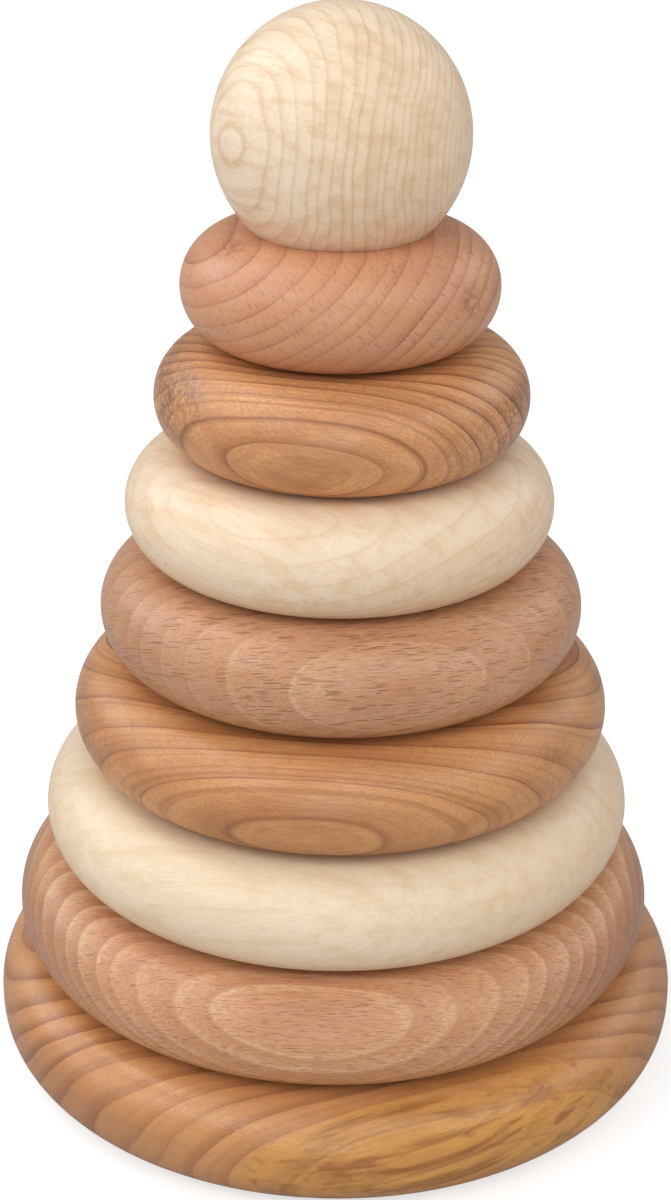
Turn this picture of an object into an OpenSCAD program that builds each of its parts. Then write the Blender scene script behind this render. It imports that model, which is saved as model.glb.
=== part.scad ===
// Stacking tower in turned wood: a heavy flat base with a peg glued into it, seven
// loose rings that grow from top to bottom, and a ball that caps the peg.
// Origin: centre of the base's underside. +Z runs up the middle of the peg.

/* [Base] */
// Diameter of the base disc
base_d = 131; // [126:1:150]
// Height of the base disc
base_h = 20; // [19:0.5:26]
// Radius of the turned edge, over the top and again under the bottom
base_edge_r = 9; // [4:0.5:9]
// Depth of the blind hole that the peg is glued into
socket_depth = 14; // [8:0.5:15]

/* [Peg] */
// Diameter of the peg
peg_d = 14; // [10:0.5:14]
// Length of the peg that stands above the smallest ring
peg_reach = 22; // [12:0.5:22]
// Rounding of the peg's upper end
peg_tip_r = 3; // [1:0.5:4]
// Gap for glue between the peg and the wall of its hole
glue_gap = 0.05; // [0.02:0.01:0.1]

/* [Rings] */
// Diameter of the smallest ring
small_ring_d = 56; // [52:0.5:60]
// How much wider each ring is than the one above it
ring_step = 10.8; // [6:0.2:11]
// Height of every ring, which is also the full round of its edge
ring_h = 20; // [16:0.5:22]
// Diameter of the hole through every ring
ring_bore_d = 16; // [15:0.5:18]
// Rounding at both mouths of the hole
mouth_r = 1.5; // [0.5:0.25:2]

/* [Ball] */
// Diameter of the ball
ball_d = 44.6; // [44.6:0.2:52]
// Height of the ball's centre above the flat that it stands on
ball_centre_h = 16; // [15:0.1:18]
// Diameter of the ball's blind hole
ball_bore_d = 16; // [15:0.5:18]
// Depth of the ball's blind hole
ball_bore_depth = 24; // [23:0.5:26]

/* [Hidden] */
ring_count = 7;
ring_names = [for (k = [1:ring_count]) str("ring_", k)];

// Colours of the woods
maple = "#ECD9B8";
cherry = "#C08F62";
beech = "#C3906A";
alder = "#CD9A78";
plum = "#B9824F";
ring_woods = [alder, cherry, maple, beech, cherry, maple, beech];

// How far each ring, from the smallest down, has settled sideways within its play on the peg
settled_x = [0, 0.4, 0.1, 0.5, 0.5, -0.1, -0.6];

nose_r = ring_h / 2;
ball_z = base_h + ring_count * ring_h;
socket_z = base_h - socket_depth;
peg_len = ball_z + peg_reach - socket_z;
// How far a cutter runs past the face that it cuts
over = 1;
$fn = 96;

// Ring 1 is the smallest and lies at the top, just under the ball
function ring_d(k) = small_ring_d + (k - 1) * ring_step;
function ring_z(k) = base_h + (ring_count - k) * ring_h;

// What a round of radius r takes off a square corner that lies at the origin
module corner_waste(r) {
    difference() {
        translate([-over, -over]) square(r + over);
        translate([r, r]) circle(r);
    }
}

// Half section of a ring: a flat web with a full round edge and eased mouths
module ring_section(d) {
    bore_r = ring_bore_d / 2;
    difference() {
        union() {
            translate([bore_r, 0]) square([d / 2 - nose_r - bore_r, ring_h]);
            translate([d / 2 - nose_r, nose_r]) circle(nose_r);
        }
        translate([bore_r, 0]) corner_waste(mouth_r);
        translate([bore_r, ring_h]) mirror([0, 1]) corner_waste(mouth_r);
    }
}

module ring(k) {
    color(ring_woods[k - 1])
        translate([settled_x[k - 1], 0, ring_z(k)])
            rotate_extrude() ring_section(ring_d(k));
}

// Half section of the base: flat above and below, with a plump turned edge
module base_section() {
    flat_r = base_d / 2 - base_edge_r;
    square([flat_r, base_h]);
    translate([0, base_edge_r]) square([base_d / 2, base_h - 2 * base_edge_r]);
    for (z = [base_edge_r, base_h - base_edge_r])
        translate([flat_r, z]) circle(base_edge_r);
}

module base() {
    color(plum)
        difference() {
            rotate_extrude() base_section();
            translate([0, 0, socket_z]) cylinder(h = socket_depth + over, d = peg_d + 2 * glue_gap);
        }
}

// Half section of the peg, with a rounded upper end
module peg_section() {
    peg_r = peg_d / 2;
    square([peg_r, peg_len - peg_tip_r]);
    square([peg_r - peg_tip_r, peg_len]);
    translate([peg_r - peg_tip_r, peg_len - peg_tip_r])
        intersection() {
            circle(peg_tip_r);
            square(peg_tip_r);
        }
}

module peg() {
    color(beech)
        translate([0, 0, socket_z])
            rotate_extrude() peg_section();
}

module ball() {
    color(maple)
        translate([0, 0, ball_z])
            difference() {
                translate([0, 0, ball_centre_h]) sphere(d = ball_d);
                translate([0, 0, -ball_d / 2]) cube([ball_d, ball_d, ball_d], center = true);
                translate([0, 0, -over]) cylinder(h = ball_bore_depth + over, d = ball_bore_d);
                cylinder(h = mouth_r, d1 = ball_bore_d + 2 * mouth_r, d2 = ball_bore_d);
            }
}

base();
peg();
for (k = [1:ring_count])
    ring(k);
ball();
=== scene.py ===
from math import acos, cos, degrees, pi, radians, sin, sqrt

import bmesh
import bpy
from mathutils import Matrix, Vector


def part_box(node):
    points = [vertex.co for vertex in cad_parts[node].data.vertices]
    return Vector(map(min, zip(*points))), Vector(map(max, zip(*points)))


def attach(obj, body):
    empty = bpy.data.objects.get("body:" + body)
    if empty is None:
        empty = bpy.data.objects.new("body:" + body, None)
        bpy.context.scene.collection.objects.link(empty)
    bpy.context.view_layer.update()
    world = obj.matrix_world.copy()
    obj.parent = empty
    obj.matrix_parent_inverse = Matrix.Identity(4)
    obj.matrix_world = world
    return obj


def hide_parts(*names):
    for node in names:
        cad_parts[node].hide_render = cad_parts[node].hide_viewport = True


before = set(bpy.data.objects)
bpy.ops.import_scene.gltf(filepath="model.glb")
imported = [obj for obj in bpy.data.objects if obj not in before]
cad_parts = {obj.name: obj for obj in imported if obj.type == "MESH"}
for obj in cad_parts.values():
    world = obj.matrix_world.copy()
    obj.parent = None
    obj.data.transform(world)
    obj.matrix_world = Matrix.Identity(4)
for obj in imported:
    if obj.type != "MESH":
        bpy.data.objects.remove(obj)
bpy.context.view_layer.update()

# ------------------------------------------------------------------ base
# The foot of the tower is a thick disc of plum wood. It is turned on a lathe with both edges
# rounded over and a blind hole for the peg, then sanded fine, oiled and waxed.
MM = 0.001


def start_outline(r, z):
    """Starts the outline that a lathe piece is turned from, at radius r and height z in mm."""
    outline = bmesh.new()
    tip = bmesh.ops.create_vert(outline, co=(r * MM, 0, z * MM))["vert"][0]
    return outline, tip


def cut_straight(outline, tip, r, z):
    """Runs the outline on in a straight line."""
    run = bmesh.ops.extrude_vert_indiv(outline, verts=[tip])["verts"][0]
    run.co = (r * MM, 0, z * MM)
    return run


def cut_round(outline, tip, r, z, angle, steps):
    """Swings the outline's tip round the point at radius r and height z, clockwise in degrees."""
    swing = bmesh.ops.spin(
        outline, geom=[tip], cent=(r * MM, 0, z * MM), axis=(0, 1, 0),
        angle=radians(angle), steps=steps,
    )["geom_last"]
    return [part for part in swing if isinstance(part, bmesh.types.BMVert)][0]


def turn_piece(node, outline, centre_x, finish, body):
    """Turns the outline round its own axis, closes its seam and poles, and hangs it on its body."""
    touching = 0.002 * MM
    corner = radians(40)
    turn_steps = 288
    bmesh.ops.remove_doubles(outline, verts=outline.verts, dist=touching)
    bmesh.ops.spin(
        outline, geom=outline.verts[:] + outline.edges[:], cent=(0, 0, 0), axis=(0, 0, 1),
        angle=2 * pi, steps=turn_steps, use_merge=True,
    )
    bmesh.ops.remove_doubles(outline, verts=outline.verts, dist=touching)
    bmesh.ops.recalc_face_normals(outline, faces=outline.faces)
    bmesh.ops.translate(outline, verts=outline.verts, vec=(centre_x * MM, 0, 0))
    mesh = bpy.data.meshes.new(node)
    outline.to_mesh(mesh)
    outline.free()
    mesh.shade_smooth()
    mesh.set_sharp_from_angle(angle=corner)
    mesh.materials.append(finish)
    piece = bpy.data.objects.new("turned_" + node, mesh)
    bpy.context.scene.collection.objects.link(piece)
    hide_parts(node)
    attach(piece, body)


def linear(code):
    """An sRGB hex colour as the linear colour that a shader takes."""
    parts = [int(code[i:i + 2], 16) / 255 for i in (1, 3, 5)]
    return [c / 12.92 if c < 0.04045 else ((c + 0.055) / 1.055) ** 2.4 for c in parts] + [1]


def add_node(tree, kind, inputs, **settings):
    """Adds a node with its settings, gives its inputs values or links, and returns its outputs.
    A Mix of two colours takes its factor as 0 and the colours as 6 and 7, and gives 2."""
    node = tree.nodes.new("ShaderNode" + kind)
    for key, value in settings.items():
        setattr(node, key, value)
    for key, value in inputs.items():
        if isinstance(value, bpy.types.NodeSocket):
            tree.links.new(value, node.inputs[key])
        else:
            node.inputs[key].default_value = value
    return node.outputs


def crown_of(rim, grain):
    """The point in mm of a round edge that faces as the grain's layers do. A rim is the piece's
    radius, the radius of its edge, and the height of that edge's centre."""
    radius, nose, z = rim
    facing = radians(grain["facing"])
    rise = radians(grain["rise"])
    reach = radius - nose + nose * cos(rise)
    return (reach * sin(facing), -reach * cos(facing), z + nose * sin(rise))


def grow_board(tree, crown, facing, rise, lean, heart, belly, first, width, wander, blur=0.12,
               turning=0.3, spring=0.9):
    """Grows the board that a piece is cut from, as the yearly layers of a trunk, in mm and
    degrees. At the point crown the layers face the compass angle facing and the angle rise.
    The trunk's heart lies heart behind it, and the fibre leans up to the right by lean. A belly
    of 0 is a straight trunk, and 1 one as round as a ball. The first layer ends first below the
    crown, each is width thick, and they wander from side to side. The fibres blur a layer's
    edges, a year turns dark from the share turning of it on, and its pale start is spring thick.
    Gives the place in the trunk with x along the fibre, the depth from its heart, masks for the
    early wood, the late wood and the edge where a year ends, the fibres, and the ends, where
    the fibre is cut across and drinks more oil."""
    # Waves of the trunk, fibres, and faded patches to a mm, along the fibre and across it. Real
    # fibres are about 0.03 mm across, too fine to show, so they are drawn ten times as coarse.
    trunk_waves = (0.012, 0.035, 0.035)
    fibre_count = (0.2, 3.4, 3.4)
    faded_patches = (0.03, 0.08, 0.08)
    # Good and bad years come in spells, so many to a mm, that swell the layers by up to this much
    spells = 0.37 / width
    swelling = 1.1 * width
    # The line that ends a year starts and fades at these distances in mm before its last edge
    line_start = 0.5
    line_fade = 0.2
    out = Vector((sin(radians(facing)) * cos(radians(rise)),
                  -cos(radians(facing)) * cos(radians(rise)), sin(radians(rise))))
    level = Vector((cos(radians(facing)), sin(radians(facing)), 0))
    fibre = level * cos(radians(lean)) + out.cross(level) * sin(radians(lean))
    turn = Matrix((fibre, out.cross(fibre), out)).transposed().to_euler()
    surface = add_node(tree, "TexCoord", {})
    straight = add_node(tree, "Mapping", {
        "Vector": surface["Object"], "Location": (Vector(crown) - out * heart) * MM,
        "Rotation": turn, "Scale": (MM, MM, MM),
    }, vector_type="TEXTURE")["Vector"]
    slow = add_node(tree, "VectorMath", {0: straight, 1: trunk_waves},
                    operation="MULTIPLY")["Vector"]
    drift = add_node(tree, "TexNoise", {"Vector": slow, "Scale": 1.0, "Detail": 2.0})["Color"]
    sway = add_node(tree, "VectorMath", {0: drift, 1: (0.5, 0.5, 0.5)},
                    operation="SUBTRACT")["Vector"]
    trunk = add_node(tree, "VectorMath", {0: sway, 1: (0, wander, wander), 2: straight},
                     operation="MULTIPLY_ADD")["Vector"]
    combed = add_node(tree, "VectorMath", {0: trunk, 1: fibre_count},
                      operation="MULTIPLY")["Vector"]
    streaks = add_node(tree, "TexNoise", {"Vector": combed, "Scale": 1.0, "Detail": 3.0,
                                          "Roughness": 0.65})["Fac"]
    fibres = add_node(tree, "MapRange", {"Value": streaks, "From Min": 0.36, "From Max": 0.64},
                      interpolation_type="SMOOTHSTEP")["Result"]
    across = add_node(tree, "VectorMath", {0: trunk, 1: (belly, 1, 1)},
                      operation="MULTIPLY")["Vector"]
    depth = add_node(tree, "VectorMath", {0: across}, operation="LENGTH")["Value"]
    climate = add_node(tree, "TexNoise", {"W": depth, "Scale": spells, "Detail": 1.0},
                       noise_dimensions="1D")["Fac"]
    swell = add_node(tree, "Math", {0: climate, 1: swelling, 2: depth},
                     operation="MULTIPLY_ADD")["Value"]
    blurred = add_node(tree, "Math", {0: fibres, 1: blur, 2: swell},
                       operation="MULTIPLY_ADD")["Value"]
    grown = add_node(tree, "Math", {0: blurred, 1: heart - first + swelling / 2},
                     operation="SUBTRACT")["Value"]
    count = add_node(tree, "Math", {0: grown, 1: width}, operation="DIVIDE")["Value"]
    season = add_node(tree, "Math", {0: count}, operation="FRACT")["Value"]
    year = add_node(tree, "Math", {0: count}, operation="FLOOR")["Value"]
    # Each year is as strong as its rainfall, from half to whole, and fades here and there
    rainfall = add_node(tree, "TexWhiteNoise", {"W": year}, noise_dimensions="1D")["Value"]
    patchy = add_node(tree, "VectorMath", {0: trunk, 1: faded_patches},
                      operation="MULTIPLY")["Vector"]
    fading = add_node(tree, "TexNoise", {"Vector": patchy, "Scale": 1.0, "Detail": 1.0})["Fac"]
    faded = add_node(tree, "MapRange", {"Value": fading, "From Min": 0.35, "From Max": 0.65,
                                        "To Min": 0.5})["Result"]
    kept = add_node(tree, "Math", {0: rainfall, 1: 0.5, 2: 0.5},
                    operation="MULTIPLY_ADD")["Value"]
    strength = add_node(tree, "Math", {0: kept, 1: faded}, operation="MULTIPLY")["Value"]
    closing = add_node(tree, "MapRange", {
        "Value": season, "From Min": 1.0, "From Max": 1 - line_fade / width,
    }, interpolation_type="SMOOTHSTEP")["Result"]
    shut = add_node(tree, "Math", {0: strength, 1: closing}, operation="MULTIPLY")["Value"]
    darkening = add_node(tree, "MapRange", {
        "Value": season, "From Min": turning, "From Max": 0.98,
    }, interpolation_type="SMOOTHSTEP")["Result"]
    late = add_node(tree, "Math", {0: darkening, 1: shut}, operation="MULTIPLY")["Value"]
    ending = add_node(tree, "MapRange", {
        "Value": season, "From Min": 1 - line_start / width, "From Max": 1 - line_fade / width,
    }, interpolation_type="SMOOTHSTEP")["Result"]
    edge = add_node(tree, "Math", {0: ending, 1: shut}, operation="MULTIPLY")["Value"]
    starting = add_node(tree, "MapRange", {
        "Value": season, "From Min": spring / width, "From Max": 0.0,
    }, interpolation_type="SMOOTHSTEP")["Result"]
    early = add_node(tree, "Math", {0: starting, 1: strength}, operation="MULTIPLY")["Value"]
    slant = add_node(tree, "VectorMath", {0: surface["Normal"], 1: fibre},
                     operation="DOT_PRODUCT")["Value"]
    cut_across = add_node(tree, "Math", {0: slant}, operation="ABSOLUTE")["Value"]
    ends = add_node(tree, "MapRange", {
        "Value": cut_across, "From Min": 0.45, "From Max": 0.95,
    }, interpolation_type="SMOOTHSTEP")["Result"]
    return {"trunk": trunk, "depth": depth, "early": early, "late": late, "edge": edge,
            "fibres": fibres, "ends": ends}


def blend_clouds(tree, board, along, across, low, high, wavy=0.0):
    """Soft clouds in the wood, so many to a mm along the fibre and across it. The mask rises
    from 0 to 1 between the levels low and high of the noise."""
    spread = add_node(tree, "VectorMath", {0: board["trunk"], 1: (along, across, across)},
                      operation="MULTIPLY")["Vector"]
    clouds = add_node(tree, "TexNoise", {"Vector": spread, "Scale": 1.0, "Detail": 3.0,
                                         "Roughness": 0.55, "Distortion": wavy})["Fac"]
    return add_node(tree, "MapRange", {"Value": clouds, "From Min": low, "From Max": high},
                    interpolation_type="SMOOTHSTEP")["Result"]


def grow_veins(tree, board, count, detail, low):
    """Faint veins inside the years, so many to a mm of depth, above the level low of the noise."""
    fine = add_node(tree, "TexNoise", {"W": board["depth"], "Scale": count, "Detail": detail},
                    noise_dimensions="1D")["Fac"]
    return add_node(tree, "MapRange", {"Value": fine, "From Min": low, "From Max": 0.75})["Result"]


def cut_rays(tree, board, heart, fibre_gap, side_gap, radial, share):
    """Rays are thin sheets of cells that run out from the heart. Cut flat they show as short
    spindles along the fibre, and cut across as ticks along the radius. The gaps between them
    are in mm, along the fibre, round the trunk and along the radius, and share is how much of
    each gap they fill. Gives a mask that is 1 in a ray."""
    softness = 0.14
    parts = add_node(tree, "SeparateXYZ", {"Vector": board["trunk"]})
    angle = add_node(tree, "Math", {0: parts["Y"], 1: parts["Z"]}, operation="ARCTAN2")["Value"]
    arc = add_node(tree, "Math", {0: angle, 1: heart / side_gap}, operation="MULTIPLY")["Value"]
    along = add_node(tree, "Math", {0: parts["X"], 1: 1 / fibre_gap}, operation="MULTIPLY")["Value"]
    outward = add_node(tree, "Math", {0: board["depth"], 1: 1 / radial},
                       operation="MULTIPLY")["Value"]
    cell = add_node(tree, "CombineXYZ", {"X": along, "Y": arc, "Z": outward})["Vector"]
    cells = add_node(tree, "TexVoronoi", {"Vector": cell, "Scale": 1.0})
    size = add_node(tree, "Math", {0: cells["Color"], 1: share}, operation="MULTIPLY")["Value"]
    inside = add_node(tree, "Math", {0: size, 1: cells["Distance"]},
                      operation="SUBTRACT")["Value"]
    return add_node(tree, "MapRange", {"Value": inside, "From Min": 0.0, "From Max": softness},
                    interpolation_type="SMOOTHSTEP")["Result"]


def stain(tree, wood, colour, mask, share):
    """Stains the wood with a colour where the mask is 1, by the given share."""
    amount = add_node(tree, "Math", {0: mask, 1: share}, operation="MULTIPLY")["Value"]
    bare = linear(wood) if isinstance(wood, str) else wood
    return add_node(tree, "Mix", {0: amount, 6: bare, 7: linear(colour)}, data_type="RGBA")[2]


def new_finish(name):
    """An empty material and its node tree."""
    finish = bpy.data.materials.new(name)
    finish.use_nodes = True
    finish.node_tree.nodes.clear()
    return finish, finish.node_tree


def lay_skin(tree, colour, relief, raised, roughness):
    """Lays the sanded skin of the wood, which keeps raised mm of the grain's relief and is duller
    where the grain stands up. Oil and wax make it satin, and bare wood is dull. Wood, dried oil
    and wax all bend light as about 1.48."""
    bump = add_node(tree, "Bump", {"Height": relief, "Strength": 1.0,
                                   "Distance": raised * MM})["Normal"]
    satin = add_node(tree, "MapRange", {"Value": relief, "To Min": roughness - 0.03,
                                        "To Max": roughness + 0.06})["Result"]
    shader = add_node(tree, "BsdfPrincipled", {
        "Base Color": colour, "Roughness": satin, "IOR": 1.48, "Normal": bump,
    })["BSDF"]
    add_node(tree, "OutputMaterial", {"Surface": shader})


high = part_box("base")[1]
base_r = high.x / MM
base_top = high.z / MM
base_edge = 9
socket_r = 7.05
socket_z = 6
outline, tip = start_outline(0, socket_z)
tip = cut_straight(outline, tip, socket_r, socket_z)
tip = cut_straight(outline, tip, socket_r, base_top)
tip = cut_straight(outline, tip, base_r - base_edge, base_top)
tip = cut_round(outline, tip, base_r - base_edge, base_top - base_edge, angle=90, steps=20)
tip = cut_straight(outline, tip, base_r, base_edge)
tip = cut_round(outline, tip, base_r - base_edge, base_edge, angle=90, steps=20)
cut_straight(outline, tip, 0, 0)

# Plum has broad brown bands, and under the bark side a golden patch with wavy darker streaks.
# Oil brings the gold out, and wax gives it the glossiest skin of the tower.
waxed_plum, tree = new_finish("waxed_plum")
heart = 90
grain = {"facing": 22, "rise": -28, "lean": 12, "heart": heart, "belly": 0.4, "first": 11,
         "width": 4.4, "wander": 8, "blur": 0.2, "turning": 0.4}
board = grow_board(tree, crown_of((base_r, base_edge, base_edge), grain), **grain)
veins = grow_veins(tree, board, count=0.7, detail=1.0, low=0.48)
waves = blend_clouds(tree, board, along=0.02, across=0.5, low=0.42, high=0.70, wavy=0.6)
drifts = blend_clouds(tree, board, along=0.02, across=0.2, low=0.4, high=0.66)
# The golden patch starts between 13 and 5 mm under the crown, along a ragged border
ragged = add_node(tree, "Math", {0: drifts, 1: 4.0, 2: board["depth"]},
                  operation="MULTIPLY_ADD")["Value"]
under_bark = add_node(tree, "MapRange", {
    "Value": ragged, "From Min": heart - 13, "From Max": heart - 5,
}, interpolation_type="SMOOTHSTEP")["Result"]
streaky = add_node(tree, "Math", {0: under_bark, 1: waves}, operation="MULTIPLY")["Value"]
# Inside the patch only three tenths of the bands' strength is left
outside = add_node(tree, "Math", {0: under_bark, 1: -0.7, 2: 1.0},
                   operation="MULTIPLY_ADD")["Value"]
late = add_node(tree, "Math", {0: board["late"], 1: outside}, operation="MULTIPLY")["Value"]
cloudy = blend_clouds(tree, board, along=0.05, across=0.05, low=0.35, high=0.7)
golden = stain(tree, "#CE9461", "#D59B4E", under_bark, share=0.9)
clouded = stain(tree, golden, "#B87A48", cloudy, share=0.35)
banded = stain(tree, clouded, "#80462A", late, share=1.0)
ended = stain(tree, banded, "#8C5E44", board["ends"], share=0.35)
lined = stain(tree, ended, "#7C4428", board["edge"], share=0.45)
veined = stain(tree, lined, "#A06840", veins, share=0.3)
waved = stain(tree, veined, "#84491C", streaky, share=0.68)
plum = stain(tree, waved, "#8E5A34", board["fibres"], share=0.25)
lay_skin(tree, plum, board["fibres"], raised=0.012, roughness=0.27)
turn_piece("base", outline, 0, waxed_plum, "base_and_peg")

# ------------------------------------------------------------------ peg
# A plain beech dowel, bought as a rod and cut to length with its top end rounded over. It is
# glued into the hole in the base and left bare.
low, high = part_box("peg")
peg_r = high.x / MM
peg_low = low.z / MM
peg_top = high.z / MM
peg_middle = 90
peg_tip = 3
outline, tip = start_outline(0, peg_top)
tip = cut_straight(outline, tip, peg_r - peg_tip, peg_top)
tip = cut_round(outline, tip, peg_r - peg_tip, peg_top - peg_tip, angle=90, steps=8)
tip = cut_straight(outline, tip, peg_r, peg_low)
cut_straight(outline, tip, 0, peg_low)

# Bare sanded beech is dull and pale, with faint lines up its length and small brown spindles.
bare_dowel, tree = new_finish("bare_dowel")
grain = {"facing": 0, "rise": 0, "lean": 90, "heart": 60, "belly": 0, "first": 1.0,
         "width": 2.2, "wander": 2}
board = grow_board(tree, (0, -peg_r, peg_middle), **grain)
spindles = cut_rays(tree, board, grain["heart"], fibre_gap=3.0, side_gap=0.4, radial=12, share=0.55)
lined = stain(tree, "#DDBB94", "#B98E64", board["late"], share=0.6)
combed = stain(tree, lined, "#B98E64", board["fibres"], share=0.35)
beech = stain(tree, combed, "#96673F", spindles, share=0.6)
lay_skin(tree, beech, board["fibres"], raised=0.03, roughness=0.6)
turn_piece("peg", outline, 0, bare_dowel, "base_and_peg")

# ------------------------------------------------------------------ ring 7
# The largest and lowest ring, of steamed beech. Like every ring it is turned from flat board
# with a fully rounded rim, bored through with a softened mouth, and drops loose over the peg.
bore_r = 8
mouth_r = 1.5
# The skin of air under a resting piece, which keeps the two touching faces apart
resting_gap = 0.02


def shape_ring(node):
    """Draws a ring's outline from its size. Gives the outline, the ring's centre and its rim."""
    low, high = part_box(node)
    centre_x = (low.x + high.x) / 2 / MM
    r = (high.x - low.x) / 2 / MM
    under = low.z / MM + resting_gap
    top = high.z / MM
    nose = (top - under) / 2
    outline, tip = start_outline(bore_r, under + mouth_r)
    tip = cut_straight(outline, tip, bore_r, top - mouth_r)
    tip = cut_round(outline, tip, bore_r + mouth_r, top - mouth_r, angle=90, steps=6)
    tip = cut_straight(outline, tip, r - nose, top)
    tip = cut_round(outline, tip, r - nose, under + nose, angle=180, steps=40)
    tip = cut_straight(outline, tip, bore_r + mouth_r, under)
    cut_round(outline, tip, bore_r + mouth_r, under + mouth_r, angle=90, steps=6)
    return outline, centre_x, (r, nose, under + nose)


def steamed_beech(node, rim, grain, light, dark, bands, pale, spindle_gaps, fleck, oiled):
    """Waxed steamed beech: pinkish brown, each year starting with a pale band, and covered in
    dark spindles along the fibre and finer specks between them, which are its rays. The
    spindles are about 1 to 4 mm long and 0.2 mm across."""
    finish, tree = new_finish("waxed_beech_" + node)
    board = grow_board(tree, crown_of(rim, grain), **grain)
    gap, side = spindle_gaps
    heart = grain["heart"]
    spindles = cut_rays(tree, board, heart, gap, side, radial=14, share=0.58)
    specks = cut_rays(tree, board, heart, gap * 0.5, side * 0.62, radial=9, share=0.55)
    cloudy = blend_clouds(tree, board, along=0.04, across=0.12, low=0.35, high=0.65)
    banded = stain(tree, light, dark, board["late"], share=bands)
    sprung = stain(tree, banded, "#EBCBA2", board["early"], share=pale)
    clouded = stain(tree, sprung, dark, cloudy, share=0.15)
    combed = stain(tree, clouded, dark, board["fibres"], share=0.38)
    ended = stain(tree, combed, "#8A5842", board["ends"], share=oiled)
    specked = stain(tree, ended, "#8A5638", specks, share=fleck * 0.6)
    beech = stain(tree, specked, "#6E4026", spindles, share=fleck)
    lay_skin(tree, beech, board["fibres"], raised=0.012, roughness=0.33)
    return finish


outline, centre_x, rim = shape_ring("ring_7")
grain = {"facing": -4, "rise": 39, "lean": 0, "heart": 85, "belly": 0, "first": 2.1,
         "width": 2.4, "wander": 4, "blur": 0.2, "spring": 1.1}
beech = steamed_beech("ring_7", rim, grain, light="#D39E76", dark="#A06444", bands=0.55,
                      pale=0.72, spindle_gaps=(2.4, 0.26), fleck=0.42, oiled=0.6)
turn_piece("ring_7", outline, centre_x, beech, "ring_7")

# ------------------------------------------------------------------ ring 6
# The second ring up, of maple, the palest wood of the tower. It is turned, bored and waxed as
# ring 7 is, and lies loose on it.


def waxed_maple(node, rim, grain, light, dark, lines, ripples):
    """Waxed maple: very pale and nearly plain, with faint tan lines and clouds, a silky ripple
    across the fibre and fine ticks."""
    finish, tree = new_finish("waxed_maple_" + node)
    board = grow_board(tree, crown_of(rim, grain), **grain)
    ripple = blend_clouds(tree, board, along=0.6, across=0.25, low=0.40, high=0.66)
    cloudy = blend_clouds(tree, board, along=0.022, across=0.4, low=0.42, high=0.7)
    ticks = cut_rays(tree, board, grain["heart"], fibre_gap=1.2, side_gap=0.25, radial=5, share=0.5)
    banded = stain(tree, light, dark, board["late"], share=lines)
    lined = stain(tree, banded, "#BE9260", board["edge"], share=lines)
    clouded = stain(tree, lined, dark, cloudy, share=0.34)
    rippled = stain(tree, clouded, "#C7A078", ripple, share=ripples)
    combed = stain(tree, rippled, dark, board["fibres"], share=0.16)
    ended = stain(tree, combed, "#CFA274", board["ends"], share=0.26)
    maple = stain(tree, ended, "#A97F55", ticks, share=0.16)
    lay_skin(tree, maple, board["fibres"], raised=0.01, roughness=0.34)
    return finish


outline, centre_x, rim = shape_ring("ring_6")
grain = {"facing": -30, "rise": 50, "lean": 14, "heart": 120, "belly": 0, "first": 1.0,
         "width": 2.4, "wander": 4}
maple = waxed_maple("ring_6", rim, grain, light="#E9D6BA", dark="#D3AE80", lines=0.10,
                    ripples=0.05)
turn_piece("ring_6", outline, centre_x, maple, "ring_6")

# ------------------------------------------------------------------ ring 5
# The third ring up, of cherry, turned, bored and waxed as the others. Its board comes from a
# trunk that bulged, so the front shows long loops inside each other.


def waxed_cherry(node, rim, grain, light, dark, line, oiled):
    """Waxed cherry: warm golden brown, with years that darken softly and end in a thin brown
    line, faint veins between, soft clouds, and mottled purplish brown where the fibre ends."""
    finish, tree = new_finish("waxed_cherry_" + node)
    board = grow_board(tree, crown_of(rim, grain), **grain)
    veins = grow_veins(tree, board, count=1.3, detail=2.0, low=0.46)
    cloudy = blend_clouds(tree, board, along=0.03, across=0.10, low=0.4, high=0.66)
    specks = cut_rays(tree, board, grain["heart"], fibre_gap=1.3, side_gap=0.3, radial=8, share=0.5)
    banded = stain(tree, light, dark, board["late"], share=0.8)
    veined = stain(tree, banded, dark, veins, share=0.45)
    lined = stain(tree, veined, line, board["edge"], share=1.0)
    clouded = stain(tree, lined, dark, cloudy, share=0.3)
    combed = stain(tree, clouded, dark, board["fibres"], share=0.32)
    ragged = add_node(tree, "Math", {0: cloudy, 1: 0.6, 2: 0.4},
                      operation="MULTIPLY_ADD")["Value"]
    mottled = blend_clouds(tree, board, along=0.8, across=1.2, low=0.35, high=0.6)
    speckled = add_node(tree, "Math", {0: mottled, 1: ragged}, operation="MULTIPLY")["Value"]
    ends = add_node(tree, "Math", {0: board["ends"], 1: speckled}, operation="MULTIPLY")["Value"]
    ended = stain(tree, combed, "#6A4438", ends, share=oiled)
    cherry = stain(tree, ended, line, specks, share=0.14)
    lay_skin(tree, cherry, board["fibres"], raised=0.012, roughness=0.31)
    return finish


outline, centre_x, rim = shape_ring("ring_5")
grain = {"facing": -7, "rise": -25, "lean": 0, "heart": 60, "belly": 0.63, "first": 0.55,
         "width": 4.8, "wander": 4, "blur": 0.08, "turning": 0.5}
cherry = waxed_cherry("ring_5", rim, grain, light="#D39A66", dark="#985A32", line="#5E321E",
                      oiled=0.35)
turn_piece("ring_5", outline, centre_x, cherry, "ring_5")

# ------------------------------------------------------------------ ring 4
# The middle ring, of the same steamed beech as ring 7 and made the same way, from a board with
# wider years and longer, darker spindles.
outline, centre_x, rim = shape_ring("ring_4")
grain = {"facing": 10, "rise": 15, "lean": 0, "heart": 100, "belly": 0, "first": 3.4,
         "width": 4.9, "wander": 5, "blur": 0.2, "spring": 0.7}
beech = steamed_beech("ring_4", rim, grain, light="#CE9E79", dark="#A86A46", bands=0.5,
                      pale=0.42, spindle_gaps=(3.6, 0.26), fleck=0.6, oiled=0.25)
turn_piece("ring_4", outline, centre_x, beech, "ring_4")

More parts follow.
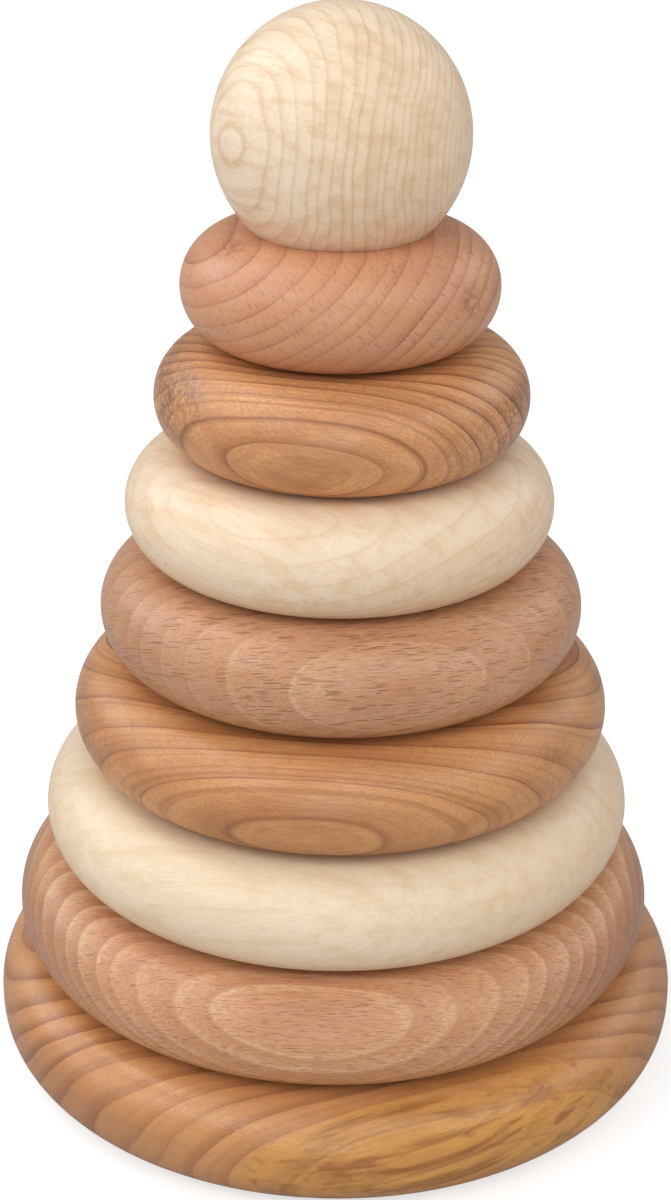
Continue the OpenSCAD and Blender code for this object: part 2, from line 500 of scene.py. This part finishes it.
# ------------------------------------------------------------------ ring 3
# The third ring from the top, of maple like ring 6 and made the same way. Its lines show a
# little more, and its fibre dips to the right.
outline, centre_x, rim = shape_ring("ring_3")
grain = {"facing": -20, "rise": 60, "lean": -20, "heart": 120, "belly": 0, "first": 1.0,
         "width": 2.6, "wander": 4}
maple = waxed_maple("ring_3", rim, grain, light="#EFDBC0", dark="#D5A470", lines=0.26,
                    ripples=0.07)
turn_piece("ring_3", outline, centre_x, maple, "ring_3")

# ------------------------------------------------------------------ ring 2
# The second ring from the top, of cherry like ring 5 and made the same way, but cut close to
# the root. Its years are narrower, its ends drink more oil, and its fibre dips to the right.
outline, centre_x, rim = shape_ring("ring_2")
grain = {"facing": -15, "rise": -24, "lean": -17, "heart": 60, "belly": 0.75, "first": 1.3,
         "width": 2.9, "wander": 9, "blur": 0.1, "turning": 0.3}
cherry = waxed_cherry("ring_2", rim, grain, light="#E2A672", dark="#93572F", line="#5A3222",
                      oiled=0.95)
turn_piece("ring_2", outline, centre_x, cherry, "ring_2")

# ------------------------------------------------------------------ ring 1
# The smallest and highest ring, of alder, turned, bored and waxed as the others. It is cut so
# that its front shows the end of the grain.
outline, centre_x, rim = shape_ring("ring_1")
r, nose, z = rim

# Waxed alder is salmon pink, with thin red brown lines, and across them the hairs and ticks of
# its rays.
waxed_alder, tree = new_finish("waxed_alder")
grain = {"facing": 90, "rise": -49, "lean": 0, "heart": 90, "belly": 0, "first": 1.0,
         "width": 2.9, "wander": 3}
board = grow_board(tree, (0, -r, z), **grain)
ticks = cut_rays(tree, board, grain["heart"], fibre_gap=1.6, side_gap=0.42, radial=2.6, share=0.45)
hairs = cut_rays(tree, board, grain["heart"], fibre_gap=1.0, side_gap=0.22, radial=2.2, share=0.5)
cloudy = blend_clouds(tree, board, along=0.05, across=0.05, low=0.35, high=0.65)
banded = stain(tree, "#D39C74", "#AA6640", board["late"], share=0.65)
lined = stain(tree, banded, "#84402A", board["edge"], share=0.7)
clouded = stain(tree, lined, "#C4866C", cloudy, share=0.45)
combed = stain(tree, clouded, "#B06E50", board["fibres"], share=0.25)
haired = stain(tree, combed, "#9A5C42", hairs, share=0.45)
alder = stain(tree, haired, "#8A4A34", ticks, share=0.4)

# Two small knots show as darker, flecked spots, one beside the ball and one on the right.
knot_r = 4.5
knot_core = 0.5
place = add_node(tree, "TexCoord", {})["Object"]
flecks = blend_clouds(tree, board, along=0.9, across=0.9, low=0.38, high=0.6)
for knot in ((-18.1, -11.1, 159.5), (22.1, -16.9, 151.8)):
    away = add_node(tree, "VectorMath", {0: place, 1: Vector(knot) * MM},
                    operation="DISTANCE")["Value"]
    near = add_node(tree, "MapRange", {
        "Value": away, "From Min": knot_r * MM, "From Max": knot_core * MM,
    }, interpolation_type="SMOOTHSTEP")["Result"]
    flecked = add_node(tree, "Math", {0: near, 1: flecks}, operation="MULTIPLY")["Value"]
    alder = stain(tree, alder, "#8A4A30", flecked, share=0.6)
lay_skin(tree, alder, board["fibres"], raised=0.012, roughness=0.33)
turn_piece("ring_1", outline, centre_x, waxed_alder, "ring_1")

# ------------------------------------------------------------------ ball
# The top piece, a maple ball with a flat turned on its underside and a blind hole, so that it
# sits on ring 1 and drops over the end of the peg.
low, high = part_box("ball")
ball_x = (low.x + high.x) / 2 / MM
ball_r = (high.x - low.x) / 2 / MM
ball_low = low.z / MM + resting_gap
centre_z = high.z / MM - ball_r
hole_depth = 24
hole_top = ball_low + hole_depth
flat_r = sqrt(ball_r ** 2 - (centre_z - ball_low) ** 2)
sweep = 180 - degrees(acos((centre_z - ball_low) / ball_r))
outline, tip = start_outline(0, hole_top)
tip = cut_straight(outline, tip, bore_r, hole_top)
tip = cut_straight(outline, tip, bore_r, ball_low + mouth_r)
tip = cut_straight(outline, tip, bore_r + mouth_r, ball_low)
tip = cut_straight(outline, tip, flat_r, ball_low)
cut_round(outline, tip, 0, centre_z, angle=-sweep, steps=96)
grain = {"facing": -53, "rise": 6, "lean": 4, "heart": 45, "belly": 0, "first": 0.5,
         "width": 1.5, "wander": 7, "blur": 0.12}
maple = waxed_maple("ball", (ball_r, ball_r, centre_z), grain, light="#F5E1C6",
                    dark="#CDA070", lines=0.36, ripples=0.10)
turn_piece("ball", outline, ball_x, maple, "ball")

# ------------------------------------------------------------------ studio
# The tower stands on a sheet of white paper in a plain studio, with large round softboxes all
# round it. The sheet and the air behind it are brighter to the camera, so that both look an
# even white and throw no more light on the wood.
sensor_width = 36
frame_width = 671
focal_length = 2312.5
distance = 0.38892
height = 0.26644
aside = -0.0005
pitch = 0.4271
roll = 0.0064
camera = bpy.data.cameras.new("camera")
camera.sensor_width = sensor_width
camera.sensor_fit = "HORIZONTAL"
camera.lens = sensor_width * focal_length / frame_width
camera.clip_start = 0.01
camera.clip_end = 100
viewer = bpy.data.objects.new("camera", camera)
bpy.context.scene.collection.objects.link(viewer)
viewer.matrix_world = (
    Matrix.Translation((aside, -distance, height))
    @ Matrix.Rotation(pi / 2 - pitch, 4, "X")
    @ Matrix.Rotation(roll, 4, "Z")
)
bpy.context.scene.camera = viewer

floor_mesh = bpy.data.meshes.new("floor")
sheet = bmesh.new()
sheet_r = 8
bmesh.ops.create_circle(sheet, cap_ends=True, radius=sheet_r, segments=64)
sheet.to_mesh(floor_mesh)
sheet.free()
floor = bpy.data.objects.new("floor", floor_mesh)
bpy.context.scene.collection.objects.link(floor)

# White paper is matt, so it shows soft shadows and no shine.
paper, tree = new_finish("paper")
seen = add_node(tree, "LightPath", {})["Is Camera Ray"]
paper_glow = 0.62
glow = add_node(tree, "Math", {0: seen, 1: paper_glow}, operation="MULTIPLY")["Value"]
shader = add_node(tree, "BsdfPrincipled", {
    "Base Color": (0.5, 0.5, 0.5, 1), "Roughness": 0.9, "Emission Color": (1, 1, 1, 1),
    "Emission Strength": glow,
})["BSDF"]
add_node(tree, "OutputMaterial", {"Surface": shader})
floor_mesh.materials.append(paper)

world = bpy.data.worlds.new("studio")
bpy.context.scene.world = world
world.use_nodes = True
world.node_tree.nodes.clear()
air_light = 0.30
air_glow = 0.51
seen = add_node(world.node_tree, "LightPath", {})["Is Camera Ray"]
strength = add_node(world.node_tree, "Math", {0: seen, 1: air_glow, 2: air_light},
                    operation="MULTIPLY_ADD")["Value"]
sky = add_node(world.node_tree, "Background", {
    "Color": (1, 1, 1, 1), "Strength": strength,
})["Background"]
add_node(world.node_tree, "OutputWorld", {"Surface": sky})

# Each softbox is given by its place, its width and its watts, and aims at the tower's middle
aim = Vector((0, 0, 0.1))
softboxes = {
    "key": ((-1.8, -1.6, 2.3), 1.8, 25.0),
    "left": ((-2.6, -0.2, 1.3), 2.0, 14.0),
    "overhead": ((-1.4, 0.5, 2.6), 1.0, 13.0),
    "front": ((0.4, -2.0, 2.9), 2.0, 22.0),
    "low_front": ((-0.2, -2.6, 0.8), 1.6, 15.0),
    "right": ((2.6, -0.4, 1.5), 2.0, 11.2),
    "front_right": ((2.0, -1.8, 1.9), 1.8, 13.0),
    "back_left": ((-2.6, 1.6, 1.7), 2.0, 24.0),
    "back_right": ((2.6, 1.8, 1.7), 2.0, 14.0),
}
for name, (at, size, watts) in softboxes.items():
    lamp = bpy.data.lights.new(name, "AREA")
    lamp.shape = "DISK"
    lamp.size = size
    lamp.energy = watts
    box = bpy.data.objects.new(name, lamp)
    box.location = at
    box.rotation_euler = (aim - Vector(at)).to_track_quat("-Z", "Y").to_euler()
    bpy.context.scene.collection.objects.link(box)
bpy.context.scene.view_settings.view_transform = "Standard"
